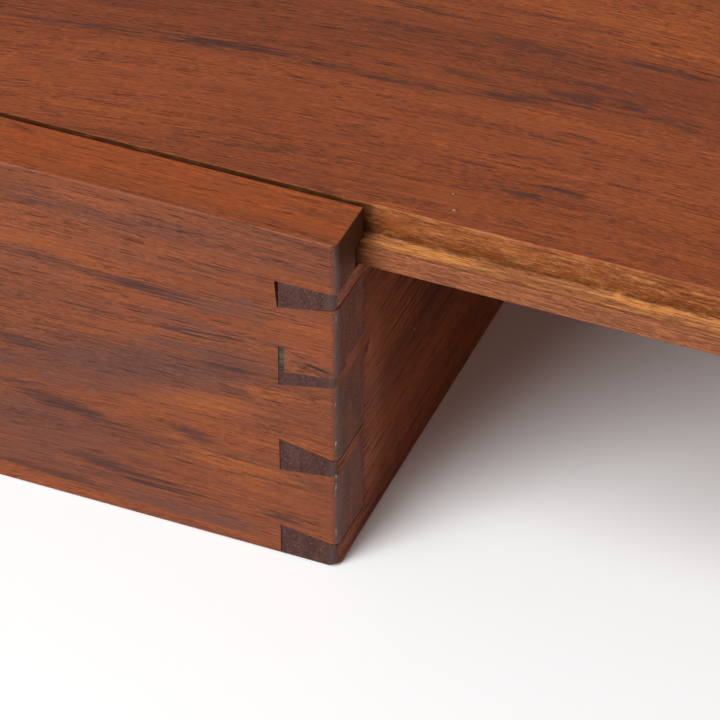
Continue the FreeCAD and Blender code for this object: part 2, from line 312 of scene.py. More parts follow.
class EffectGroup:
    """A shader effect that several timbers share, kept as one node group."""

    def __init__(self, name: str, inputs: Dict[str, str], outputs: Sequence[str]) -> None:
        """Make the empty group with its sockets.

        Args:
            name: Name of the group.
            inputs: Socket type of each input.
            outputs: Names of the outputs, which are numbers unless called Place.
        """
        self.tree = bpy.data.node_groups.new(name, "ShaderNodeTree")
        for label, kind in inputs.items():
            self.tree.interface.new_socket(label, in_out="INPUT", socket_type=kind)
        for label in outputs:
            kind = VECTOR if label == "Place" else NUMBER
            self.tree.interface.new_socket(label, in_out="OUTPUT", socket_type=kind)
        self.wiring = Wiring(self.tree)
        self.given = self.wiring.node("NodeGroupInput").outputs
        self.result = self.wiring.node("NodeGroupOutput").inputs

    def give(self, name: str, value: Socket) -> None:
        """Join one result to the group's output."""
        self.wiring.feed(self.result[name], value)


# ------------------------------------------------------------------ shared effects
def grain_place() -> bpy.types.NodeTree:
    """Build the group that lets straight grain lean, sway and wander.

    Returns:
        Group from a place in the grain's frame to the place in straightened timber.
    """
    numbers = ("Lean", "Sway", "Sway Length", "Sway Start", "Wander")
    effect = EffectGroup("Grain Place", {"Place": VECTOR, **dict.fromkeys(numbers, NUMBER)}, ["Place"])
    w, given = effect.wiring, effect.given
    along, across, through = w.split(given["Place"])
    # a regular wave and a steady slope
    turn = w.maths("DIVIDE", math.tau, given["Sway Length"])
    phase = w.times(w.maths("SUBTRACT", along, given["Sway Start"]), turn)
    sway = w.times(w.maths("SINE", phase), given["Sway"])
    lean = w.times(along, given["Lean"])
    # an irregular drift with a little of a quicker one; in depth it goes half as far
    slow = w.maths("SUBTRACT", w.noise(given["Place"], (0.012, 0.035, 0.035), detail=1.0), 0.5)
    quick = w.maths("SUBTRACT", w.noise(given["Place"], (0.05, 0.16, 0.16), detail=1.0), 0.5)
    wander = w.times(w.weighted((slow, 1.0), (quick, 0.05)), given["Wander"])
    shift = w.weighted((lean, 1.0), (sway, 1.0), (wander, 1.0))
    across = w.maths("SUBTRACT", across, shift)
    through = w.maths("MULTIPLY_ADD", wander, -0.5, through)
    effect.give("Place", w.join(along, across, through))
    return effect.tree


def long_grain() -> bpy.types.NodeTree:
    """Build the group for the figure, fibres and pores of a plank's faces.

    Returns:
        Group with the masks of long grain in straightened timber.
    """
    effect = EffectGroup(
        "Long Grain", {"Place": VECTOR, "Pore Share": NUMBER}, ["Warmth", "Tone", "Smoke", "Pores", "Fray"],
    )
    w, given = effect.wiring, effect.given
    place = given["Place"]
    # from broad zones down to single fibres, all drawn out along the grain
    broad = w.noise(place, (0.006, 0.07, 0.07), detail=2.0)
    bands = w.noise(place, (0.009, 0.42, 0.42), detail=3.0, rough=0.6)
    strands = w.noise(place, (0.045, 3.2, 3.2), detail=2.0, rough=0.75)
    grit = w.noise(place, (0.9, 5.5, 5.5), detail=1.0, rough=0.7)
    # the zones where pores are crowded also have the liveliest fibres
    crowd = w.fade(w.noise(place, (0.02, 0.4, 0.4), detail=2.0), 0.26, 0.66)
    tone = w.maths("SUBTRACT", w.weighted((bands, 0.2), (strands, 0.8), (grit, 1.2)), 1.1)
    effect.give("Warmth", w.fade(w.weighted((broad, 0.6), (bands, 0.14), (strands, 0.26)), 0.37, 0.63))
    effect.give("Tone", w.times(tone, w.maths("MULTIPLY_ADD", crowd, 0.6, 0.6)))
    effect.give("Fray", w.noise(place, (0.035, 1.9, 1.9), detail=3.0, rough=0.75))

    # dark smoke that keeps to the darker strands
    clouds = w.noise(place, (0.014, 0.3, 0.3), detail=3.0, rough=0.6)
    effect.give("Smoke", w.times(w.fade(clouds, 0.58, 0.76), w.fade(strands, 0.58, 0.42)))

    # each cell of each size holds one pore or none
    share = w.times(crowd, given["Pore Share"])
    pores: Any = 0.0
    for pore in PORE_SIZES:
        distance, chance, size = w.cells(place, pore.stretch)
        reach = w.times(w.maths("MULTIPLY_ADD", size, 0.5, 0.6), pore.radius)
        streak = w.fade(distance, reach, w.times(reach, 0.55))
        depth = w.maths("MULTIPLY_ADD", size, 0.45, 0.55)
        shown = w.maths("LESS_THAN", chance, w.times(share, pore.count))
        pores = w.maths("MAXIMUM", pores, w.times(streak, depth, shown))
    effect.give("Pores", pores)
    return effect.tree


def end_grain() -> bpy.types.NodeTree:
    """Build the group for the mottle and open pores of sawn end grain.

    Returns:
        Group with the masks of end grain.
    """
    effect = EffectGroup("End Grain", {"Place": VECTOR}, ["Mottle", "Fleck", "Pores"])
    w, given = effect.wiring, effect.given
    # growth rings under a coarse speckle
    rings = w.noise(given["Place"], (0.1, 0.16, 0.6), detail=2.0)
    speckle = w.noise(given["Place"], (2.2, 2.2, 2.2), detail=3.0, rough=0.8)
    mottle = w.weighted((rings, 0.3), (speckle, 0.7))
    effect.give("Mottle", w.fade(mottle, 0.36, 0.64))
    # pale flecks and open pores, each in some of its cells
    bright, chance, _ = w.cells(given["Place"], (1.5, 1.5, 1.5))
    effect.give("Fleck", w.times(w.fade(bright, 0.3, 0.12), w.maths("GREATER_THAN", chance, 0.55)))
    hole, chance, _ = w.cells(given["Place"], (1.7, 1.7, 1.7))
    effect.give("Pores", w.times(w.fade(hole, 0.32, 0.14), w.maths("GREATER_THAN", chance, 0.35)))
    return effect.tree


def streak_mark() -> bpy.types.NodeTree:
    """Build the group for one long soft mark that lies in the timber.

    Returns:
        Group from a place to how much of the mark is there.
    """
    numbers = (
        "Along", "Across", "Fray", "Centre Along", "Centre Across", "Cosine", "Sine",
        "Half Length", "Half Width", "Strength",
    )
    effect = EffectGroup("Streak Mark", dict.fromkeys(numbers, NUMBER), ["Share"])
    w, given = effect.wiring, effect.given
    # distance from the centre in the mark's own frame, where its rim lies at 1
    along = w.maths("SUBTRACT", given["Along"], given["Centre Along"])
    across = w.maths("SUBTRACT", given["Across"], given["Centre Across"])
    run = w.maths("ADD", w.times(along, given["Cosine"]), w.times(across, given["Sine"]))
    off = w.maths("SUBTRACT", w.times(across, given["Cosine"]), w.times(along, given["Sine"]))
    run = w.maths("DIVIDE", run, given["Half Length"])
    off = w.maths("DIVIDE", off, given["Half Width"])
    reach = w.maths("SQRT", w.maths("ADD", w.times(run, run), w.times(off, off)))
    # wide marks fray further than narrow ones, and fibres show through both
    swing = w.maths("MULTIPLY_ADD", w.fade(given["Half Width"], 0.3, 0.8), 2.0, 0.6)
    reach = w.maths("MULTIPLY_ADD", w.maths("SUBTRACT", given["Fray"], 0.5), swing, reach)
    fibres = w.maths("MULTIPLY_ADD", w.fade(given["Fray"], 0.62, 0.4), 0.45, 0.55)
    effect.give("Share", w.times(w.fade(reach, 1.1, 0.3), fibres, given["Strength"]))
    return effect.tree


def arris_wear_and_light() -> bpy.types.NodeTree:
    """Build the group that finds the case's outer arrises, the worn spots on them and the painted shade under
    the lid.

    Returns:
        Group from a row place in millimetres to the shares of the arrises worn by rubbing,
        with a painted highlight, of the strip along an upright corner with polish and a painted
        sheen, of the worn pale spots on it with painted glints, and of the lid's painted shade
        by the open end of the lid's groove.
    """
    numbers = ("Half Length", "Half Width", "Height")
    effect = EffectGroup(
        "Arris Wear And Light", {"Row Place": VECTOR, **dict.fromkeys(numbers, NUMBER)},
        ["Rubbed Highlight", "Corner", "Bare Glint", "Painted Lid Shade"],
    )
    w, given = effect.wiring, effect.given
    x, y, z = w.split(given["Row Place"])
    # distances inwards from the case's outer faces, upright corners and arrises
    from_end = w.maths("SUBTRACT", given["Half Length"], w.maths("ABSOLUTE", x))
    from_side = w.maths("SUBTRACT", given["Half Width"], w.maths("ABSOLUTE", y))
    from_top = w.maths("SUBTRACT", given["Height"], z)
    corner = w.maths("MAXIMUM", from_end, from_side)
    rim_side = w.maths("MAXIMUM", from_side, from_top)
    nearest = w.maths("MINIMUM", corner, rim_side)
    waver = w.noise(given["Row Place"], (0.3, 0.3, 0.16), detail=2.0)
    grains = w.noise(given["Row Place"], (1.7, 2.6, 0.7), detail=2.0, rough=0.7)
    # the arrises' lighter line, partly wear from rubbing and partly a painted highlight
    effect.give("Rubbed Highlight", w.fade(w.maths("MULTIPLY_ADD", waver, 0.5, nearest), 0.62, 0.2))
    # the strip along each upright corner, for polish and a painted sheen
    effect.give("Corner", w.fade(w.maths("MULTIPLY_ADD", waver, 1.2, corner), 2.7, 1.0))
    # pale spots on the corners, partly worn wood and partly painted glints
    spots = w.times(w.fade(grains, 0.58, 0.66), w.fade(waver, 0.44, 0.56))
    effect.give("Bare Glint", w.times(spots, w.fade(corner, 0.5, 0.2)))
    # painted shade of the lid near the top, set back a little from the side's face
    below = w.maths("MULTIPLY_ADD", grains, 3.0, from_top)
    inward = w.maths("MULTIPLY_ADD", from_top, -0.35, w.maths("MULTIPLY_ADD", grains, 1.5, from_side))
    effect.give("Painted Lid Shade", w.times(w.fade(below, 10.5, 4.0), w.fade(inward, -0.6, 1.8)))
    return effect.tree


def fresh_rebate() -> bpy.types.NodeTree:
    """Build the group that finds the lid's worked edges, paler than its broad faces.

    Returns:
        Group from a row place to the shares of worked wood, of the darker inner
        corner, of the tongue's upper face and its flank, and of the lid's top arris.
    """
    numbers = ("Body Half", "Body End", "Lid Top", "Tongue Top")
    effect = EffectGroup(
        "Fresh Rebate", {"Row Place": VECTOR, **dict.fromkeys(numbers, NUMBER)},
        ["Fresh", "Corner", "Shelf", "Flank", "Arris"],
    )
    w, given = effect.wiring, effect.given
    x, y, z = w.split(given["Row Place"])
    from_side = w.maths("SUBTRACT", given["Body Half"], w.maths("ABSOLUTE", y))
    # how far inside the lid's body; it is below 0 on the tongue
    inside = w.maths("MINIMUM", from_side, w.maths("SUBTRACT", x, given["Body End"]))
    depth = w.maths("SUBTRACT", given["Lid Top"], z)
    above = w.maths("SUBTRACT", z, given["Tongue Top"])
    waver = w.maths("SUBTRACT", w.noise(given["Row Place"], (0.35, 1.1, 1.1), detail=3.0, rough=0.7), 0.5)
    effect.give("Fresh", w.times(w.fade(inside, 0.14, 0.08), w.fade(depth, 0.1, 0.2)))
    ragged = w.maths("MULTIPLY_ADD", waver, 1.6, above)
    in_corner = w.times(w.fade(ragged, 2.4, 0.6), w.fade(above, 0.0, 0.25), w.fade(inside, -0.6, -0.3))
    effect.give("Corner", in_corner)
    # the shelf reaches some 3 mm out, and the flank lies beyond
    soft = w.maths("MULTIPLY_ADD", waver, 1.1, inside)
    effect.give("Shelf", w.times(w.fade(soft, -3.15, -2.4), w.fade(soft, 0.1, -0.5)))
    effect.give("Flank", w.fade(soft, -2.75, -3.2))
    edge = w.maths("ADD", w.maths("ABSOLUTE", inside), w.maths("MAXIMUM", depth, 0.0))
    edge = w.maths("MULTIPLY_ADD", waver, 1.0, edge)
    effect.give("Arris", w.fade(edge, 0.3, 0.08))
    return effect.tree


def dust_specks() -> bpy.types.NodeTree:
    """Build the group for a few pale specks of dust.

    Returns:
        Group from a row place in millimetres to the share of dust.
    """
    effect = EffectGroup("Dust Specks", {"Row Place": VECTOR, "Amount": NUMBER}, ["Share"])
    w, given = effect.wiring, effect.given
    distance, chance, size = w.cells(given["Row Place"], (0.2, 0.2, 0.2))
    reach = w.maths("MULTIPLY_ADD", size, 0.02, 0.022)
    shown = w.maths("LESS_THAN", chance, given["Amount"])
    effect.give("Share", w.times(w.fade(distance, reach, w.times(reach, 0.5)), shown))
    return effect.tree


@dataclass
class Effects:
    """The shared effects, each built once."""

    grain_place: bpy.types.NodeTree = field(default_factory=grain_place)
    long_grain: bpy.types.NodeTree = field(default_factory=long_grain)
    end_grain: bpy.types.NodeTree = field(default_factory=end_grain)
    streak_mark: bpy.types.NodeTree = field(default_factory=streak_mark)
    arris_wear_and_light: bpy.types.NodeTree = field(default_factory=arris_wear_and_light)
    fresh_rebate: bpy.types.NodeTree = field(default_factory=fresh_rebate)
    dust_specks: bpy.types.NodeTree = field(default_factory=dust_specks)


# ------------------------------------------------------------------ timber
@dataclass(frozen=True)
class Cover:
    """How strongly each effect covers the colour below it, from 0 to 1."""

    smoke: float = 0.6
    pores: float = 0.92
    specks: float = 0.85
    flecks: float = 0.45
    end_pores: float = 0.6
    # arrises: wear and a painted highlight
    rubbed_and_highlight: float = 0.25
    # upright corners: polish and a painted sheen
    polish_and_sheen: float = 0.75
    # painted shade of the lid
    painted_lid_shade: float = 0.85
    # pale spots: wear and painted glints
    bare_and_glint: float = 0.85
    dust: float = 0.7
    corner: float = 0.9
    dashes: float = 0.7
    torn: float = 0.5
    glints: float = 0.3
    arris: float = 0.8
    # painted shade where the lid's rebate runs into the case, less of it on the tongue's upper face
    gap_shade: float = 0.85
    gap_shade_on_shelf: float = 0.2


COVER = Cover()


@dataclass(frozen=True)
class Mark:
    """A long soft mark in a board, in millimetres of the row frame.

    Attributes:
        along: Place of the middle along the grain.
        across: Place of the middle across the grain, on the face that shows it.
        length: Length of the mark.
        width: Width of the mark.
        degrees: Turn of the mark away from the grain.
        strength: Largest share of the mark's colour.
    """

    along: float
    across: float
    length: float
    width: float
    degrees: float
    strength: float


@dataclass(frozen=True)
class CaseSize:
    """Sizes of the case and lid that the wear follows, in millimetres.

    Attributes:
        half_length: From the middle to the case's ends.
        half_width: From the middle to the case's sides.
        height: Top of the case and of the lid.
        lid_half: From the middle to the lid's body, without its tongue.
        lid_end: Far end of the lid's body.
        tongue_top: Upper face of the tongue.
    """

    half_length: float
    half_width: float
    height: float
    lid_half: float
    lid_end: float
    tongue_top: float


@dataclass(frozen=True)
class Timber:
    """Colours and character of one board's wood, and how it is wired.

    Attributes:
        name: Name of the material.
        warm, cool: The two tones of the long grain.
        smoke, pore: Colours of dark streaks and of pores.
        end_pale, end_dark, fleck: Colours of the end grain.
        frame: Row axes that the grain follows.
        glow, shade: Colours of the bright and the dark zones.
        top_light_tint: Tint of faces that look up, a painted difference in light between them and the sides.
        rubbed_and_highlight, polish_and_sheen, bare_and_glint: Colours of the worn places, with a
        painted highlight on the arrises, a painted sheen on the upright corners and painted
        glints on the pale spots.
        painted_lid_shade: Colour of the lid's painted shade on the end grain near the top.
        lean: Slope of the grain.
        sway, sway_length, sway_start: Wave of the grain, in millimetres.
        wander: How far the grain strays, in millimetres.
        contrast: Strength of the light and dark fibres.
        pore_share: How crowded the pores are.
        ragged: How far short fibres break up the edges of the marks.
        seed: Shift that makes the board's figure its own.
        roughness, gloss: Roughness and specular level of the surface.
        dust: Share of the cells that hold a speck of dust.
        streaks: Marks in the smoke colour.
        shades, glows: Marks of the dark and the bright zones.
        calms: Zones with weaker fibres and pores.
        specks: Pale specks.
    """

    name: str
    warm: Colour
    cool: Colour
    smoke: Colour
    pore: Colour
    end_pale: Colour
    end_dark: Colour
    frame: GrainFrame
    glow: Colour = (0.36, 0.115, 0.035)
    shade: Colour = (0.135, 0.046, 0.033)
    top_light_tint: Colour = (1.0, 1.0, 1.0)
    # lighter arrises: wear and a painted highlight
    rubbed_and_highlight: Colour = (0.30, 0.12, 0.08)
    # upright corners: polish and a painted sheen
    polish_and_sheen: Colour = (0.128, 0.076, 0.070)
    # pale spots: worn wood and painted glints, also the colour of pale specks
    bare_and_glint: Colour = (0.80, 0.70, 0.66)
    fleck: Colour = (0.20, 0.13, 0.105)
    # painted shade of the lid on end grain near the top
    painted_lid_shade: Colour = (0.040, 0.012, 0.004)
    lean: float = 0.0
    sway: float = 0.0
    sway_length: float = 200.0
    sway_start: float = 0.0
    wander: float = 9.0
    contrast: float = 1.0
    pore_share: float = 1.0
    ragged: float = 0.3
    seed: Triple = (0.0, 0.0, 0.0)
    roughness: float = 0.48
    gloss: float = 0.12
    dust: float = 0.015
    streaks: Tuple[Mark, ...] = ()
    shades: Tuple[Mark, ...] = ()
    glows: Tuple[Mark, ...] = ()
    calms: Tuple[Mark, ...] = ()
    specks: Tuple[Mark, ...] = ()

    def grain_axes(self, w: Wiring, vector: Socket) -> Tuple[Socket, Socket, Socket]:
        """Order a row vector by the board's grain.

        Args:
            w: Wiring of the material.
            vector: Vector in the row frame.

        Returns:
            Its parts along, across and through the grain.
        """
        x, y, z = w.split(vector)
        by_name = {"X": x, "Y": y, "Z": z}
        along, across, through = (by_name[axis] for axis in self.frame.value)
        return along, across, through

    def marks(self, w: Wiring, effects: Effects, marks: Sequence[Mark], raw: Socket, fray: Socket) -> Any:
        """Gather some of the board's marks into one share.

        Args:
            w: Wiring of the material.
            effects: The shared effects.
            marks: The marks to draw.
            raw: Place in the grain's frame, before it is straightened.
            fray: Noise that frays the marks' edges.

        Returns:
            The largest share of any mark at the place.
        """
        along, across, _ = w.split(raw)
        total: Any = 0.0
        for mark in marks:
            angle = math.radians(mark.degrees)
            share = w.effect(
                effects.streak_mark, Along=along, Across=across, Fray=fray,
                Centre_Along=mark.along, Centre_Across=mark.across,
                Cosine=math.cos(angle), Sine=math.sin(angle),
                Half_Length=mark.length / 2, Half_Width=mark.width / 2, Strength=mark.strength,
            )["Share"]
            total = w.maths("MAXIMUM", total, share)
        return total

    def long_face(self, w: Wiring, effects: Effects, raw: Socket, straight: Socket) -> Tuple[Socket, Socket]:
        """Colour the board's long grain.

        Args:
            w: Wiring of the material.
            effects: The shared effects.
            raw: Place in the grain's frame.
            straight: The same place in straightened timber.

        Returns:
            The colour and the share of pores.
        """
        grain = w.effect(effects.long_grain, Place=straight, Pore_Share=self.pore_share)
        fibres = w.noise(straight, (0.24, 2.8, 2.8), detail=2.0, rough=0.7)
        fray = w.maths("MULTIPLY_ADD", w.maths("SUBTRACT", fibres, 0.5), self.ragged, grain["Fray"])
        colour = w.blend(grain["Warmth"], self.cool, self.warm)
        colour = w.blend(self.marks(w, effects, self.glows, raw, fray), colour, self.glow)
        colour = w.blend(self.marks(w, effects, self.shades, raw, fray), colour, self.shade)
        lively = w.maths("SUBTRACT", 1.0, self.marks(w, effects, self.calms, raw, fray))
        pores = w.times(grain["Pores"], lively)
        tone = w.times(grain["Tone"], lively)
        colour = w.scaled(colour, w.maths("MULTIPLY_ADD", tone, self.contrast, 1.0))
        streaks = self.marks(w, effects, self.streaks, raw, fray)
        smoke = w.maths("MAXIMUM", w.times(grain["Smoke"], COVER.smoke), streaks)
        colour = w.blend(smoke, colour, self.smoke)
        colour = w.blend(w.times(pores, COVER.pores), colour, self.pore)
        specks = self.marks(w, effects, self.specks, raw, fray)
        return w.blend(w.times(specks, COVER.specks), colour, self.bare_and_glint), pores

    def end_face(self, w: Wiring, effects: Effects, raw: Socket) -> Tuple[Socket, Socket]:
        """Colour the board's end grain.

        Args:
            w: Wiring of the material.
            effects: The shared effects.
            raw: Place in the grain's frame, shifted by the seed.

        Returns:
            The colour and the share of pores.
        """
        grain = w.effect(effects.end_grain, Place=raw)
        colour = w.blend(grain["Mottle"], self.end_dark, self.end_pale)
        colour = w.blend(w.times(grain["Fleck"], COVER.flecks), colour, self.fleck)
        return w.blend(w.times(grain["Pores"], COVER.end_pores), colour, self.pore), grain["Pores"]

    def wear_and_painted_light(
        self, w: Wiring, effects: Effects, case: CaseSize, row: Socket, end_share: Socket, colour: Socket,
    ) -> Socket:
        """Rub the case's arrises and wear a few spots on them down to pale wood; the arrises carry a painted
        highlight, the upright corners a painted sheen, the spots painted glints, and the end grain near the
        top the lid's painted shade.

        Args:
            w: Wiring of the material.
            effects: The shared effects.
            case: Sizes of the case.
            row: Place in the row frame.
            end_share: How far the face looks along the grain.
            colour: Colour of the sound wood.

        Returns:
            The worn colour, with the painted highlight, sheen, glints and shade.
        """
        wear = w.effect(
            effects.arris_wear_and_light, Row_Place=row, Half_Length=case.half_length,
            Half_Width=case.half_width, Height=case.height,
        )
        # the arrises lighter, partly from rubbing and partly a painted highlight
        colour = w.blend(w.times(wear["Rubbed Highlight"], COVER.rubbed_and_highlight), colour, self.rubbed_and_highlight)
        # the upright corners' end grain given polish and a painted sheen
        colour = w.blend(w.times(wear["Corner"], end_share, COVER.polish_and_sheen), colour, self.polish_and_sheen)
        # painted shade of the lid on the end grain near the top
        colour = w.blend(w.times(wear["Painted Lid Shade"], end_share, COVER.painted_lid_shade), colour, self.painted_lid_shade)
        # pale spots on the corners, partly worn wood and partly painted glints
        return w.blend(w.times(wear["Bare Glint"], COVER.bare_and_glint), colour, self.bare_and_glint)

    def material(self, effects: Effects, case: CaseSize) -> bpy.types.Material:
        """Make this timber's material.

        Args:
            effects: The shared effects.
            case: Sizes of the case.

        Returns:
            A material for the board.
        """
        material = bpy.data.materials.new(self.name)
        material.use_nodes = True
        material.node_tree.nodes.clear()
        w = Wiring(material.node_tree)
        coordinates = w.node("ShaderNodeTexCoord").outputs
        row = w.vector("MULTIPLY", coordinates["Object"], (MM_PER_METRE,) * 3)
        raw = w.join(*self.grain_axes(w, row))
        seeded = w.vector("ADD", raw, self.seed)
        straight = w.effect(
            effects.grain_place, Place=seeded, Lean=self.lean, Sway=self.sway,
            Sway_Length=self.sway_length, Sway_Start=self.sway_start + self.seed[0], Wander=self.wander,
        )["Place"]

        long_colour, long_pores = self.long_face(w, effects, raw, straight)
        end_colour, end_pores = self.end_face(w, effects, seeded)
        facing_along, _, _ = self.grain_axes(w, coordinates["Normal"])
        end_share = w.fade(w.maths("ABSOLUTE", facing_along), *LONG_TO_END)
        facing_up = w.split(coordinates["Normal"])[2]
        # faces that look up get a tint that paints the difference in light between them and the sides
        tinted = w.vector("MULTIPLY", long_colour, self.top_light_tint)
        colour = w.blend(w.fade(facing_up, *SIDE_TO_TOP), long_colour, tinted)
        colour = w.blend(end_share, colour, end_colour)
        colour = self.wear_and_painted_light(w, effects, case, row, end_share, colour)
        dust = w.effect(effects.dust_specks, Row_Place=row, Amount=self.dust)
        colour = w.blend(w.times(dust["Share"], COVER.dust), colour, DUST_COLOUR)
        long_share = w.maths("SUBTRACT", 1.0, end_share)
        pores = w.maths("ADD", w.times(long_pores, long_share), w.times(end_pores, end_share))

        bump = w.node("ShaderNodeBump")
        bump.inputs["Strength"].default_value = PORE_RELIEF
        bump.inputs["Distance"].default_value = PORE_DEPTH
        w.feed(bump.inputs["Height"], w.maths("SUBTRACT", 1.0, pores))
        shader = w.node("ShaderNodeBsdfPrincipled")
        shader.inputs["IOR"].default_value = WOOD_IOR
        shader.inputs["Specular IOR Level"].default_value = self.gloss
        w.feed(shader.inputs["Base Color"], colour)
        w.feed(shader.inputs["Roughness"], w.maths("MULTIPLY_ADD", pores, PORE_ROUGHNESS, self.roughness))
        w.feed(shader.inputs["Normal"], bump.outputs["Normal"])
        w.feed(w.node("ShaderNodeOutputMaterial").inputs["Surface"], shader.outputs["BSDF"])
        return material


@dataclass(frozen=True)
class LidTimber(Timber):
    """The lid's wood, golden where its edges were worked.

    Attributes:
        fresh_warm, fresh_cool: The two tones of the worked wood.
        corner: Darker colour in the inner corner of the rebate.
        shelf_highlight, shelf_cool: Tones of the tongue's upper face, paler worked wood with a painted
            highlight that is bright in patches.
        edge_warm, edge_cool: Tones of the tongue's flank.
        dash, glint: Short dark and pale fibres.
        arris: Pale line on the lid's top arris.
        gap_shade: Painted shade on the rebate where it runs into the case.
            gap_shade_start, gap_shade_full: Where the painted shade starts and where it is full, in
            millimetres beyond the case's end.
        gap_shade_fray: How far its edge is frayed, in millimetres.
    """

    fresh_warm: Colour = (0.305, 0.087, 0.022)
    fresh_cool: Colour = (0.140, 0.035, 0.010)
    corner: Colour = (0.125, 0.036, 0.005)
    # the tongue's upper face: paler worked wood with a painted highlight
    shelf_highlight: Colour = (0.68, 0.275, 0.080)
    shelf_cool: Colour = (0.31, 0.118, 0.050)
    edge_warm: Colour = (0.31, 0.098, 0.040)
    edge_cool: Colour = (0.15, 0.045, 0.021)
    dash: Colour = (0.085, 0.022, 0.007)
    glint: Colour = (0.55, 0.27, 0.13)
    arris: Colour = (0.42, 0.14, 0.05)
    # painted shade on the rebate where it runs into the case
    gap_shade: Colour = (0.060, 0.019, 0.005)
    gap_shade_start: float = 3.2
    gap_shade_full: float = 0.9
    gap_shade_fray: float = 2.5

    def wear_and_painted_light(
        self, w: Wiring, effects: Effects, case: CaseSize, row: Socket, end_share: Socket, colour: Socket,
    ) -> Socket:
        """Lay the paler worked wood over the rebate and the tongue, with a painted highlight on the tongue's
        upper face and painted shade where the rebate runs into the case.

        Args:
            w: Wiring of the material.
            effects: The shared effects.
            case: Sizes of the case and lid.
            row: Place in the row frame.
            end_share: How far the face looks along the grain, which is not used here.
            colour: Colour of the broad faces.

        Returns:
            The colour with the worked edges, the painted highlight and the painted shade.
        """
        masks = w.effect(
            effects.fresh_rebate, Row_Place=row, Body_Half=case.lid_half, Body_End=case.lid_end,
            Lid_Top=case.height, Tongue_Top=case.tongue_top,
        )
        # fibres of the worked wood, long and short
        strands = w.noise(row, (0.1, 3.2, 3.2), detail=3.0, rough=0.8)
        dashes = w.fade(w.noise(row, (0.4, 5.0, 5.0), detail=2.0, rough=0.7), 0.54, 0.62)
        glints = w.fade(w.noise(row, (0.7, 6.0, 6.0), detail=2.0, rough=0.7), 0.56, 0.66)
        torn = w.fade(w.noise(row, (0.2, 1.5, 1.5), detail=3.0, rough=0.75), 0.53, 0.62)
        fresh = w.blend(w.fade(strands, 0.34, 0.66), self.fresh_cool, self.fresh_warm)
        edge = w.blend(w.fade(strands, 0.36, 0.62), self.edge_cool, self.edge_warm)
        patches = w.fade(w.noise(row, (0.05, 0.9, 0.9), detail=4.0, rough=0.75), 0.4, 0.58)
        # the rebate's inner corner, the tongue's flank and its upper face, with short fibres over all
        fresh = w.blend(w.times(masks["Corner"], COVER.corner), fresh, self.corner)
        fresh = w.blend(masks["Flank"], fresh, edge)
        # the tongue's upper face gets a painted highlight, bright in patches, over paler worked wood
        fresh = w.blend(masks["Shelf"], fresh, w.blend(patches, self.shelf_cool, self.shelf_highlight))
        dark = w.maths("MAXIMUM", w.times(dashes, COVER.dashes), w.times(torn, COVER.torn))
        fresh = w.blend(dark, fresh, self.dash)
        fresh = w.blend(w.times(glints, COVER.glints), fresh, self.glint)
        colour = w.blend(masks["Fresh"], colour, fresh)
        # painted shade darkens the rebate where it runs into the case, and the arris line ends there
        along = w.maths("MULTIPLY_ADD", strands, self.gap_shade_fray, w.split(row)[0])
        gap_shade = w.fade(along, case.half_length + self.gap_shade_start, case.half_length + self.gap_shade_full)
        clear = w.maths("SUBTRACT", COVER.arris, gap_shade, clamp=True)
        line = w.times(masks["Arris"], w.fade(strands, 0.4, 0.6), clear)
        colour = w.blend(line, colour, self.arris)
        depth = w.maths("MULTIPLY_ADD", masks["Shelf"], COVER.gap_shade_on_shelf - COVER.gap_shade, COVER.gap_shade)
        return w.blend(w.times(gap_shade, masks["Fresh"], depth), colour, self.gap_shade)


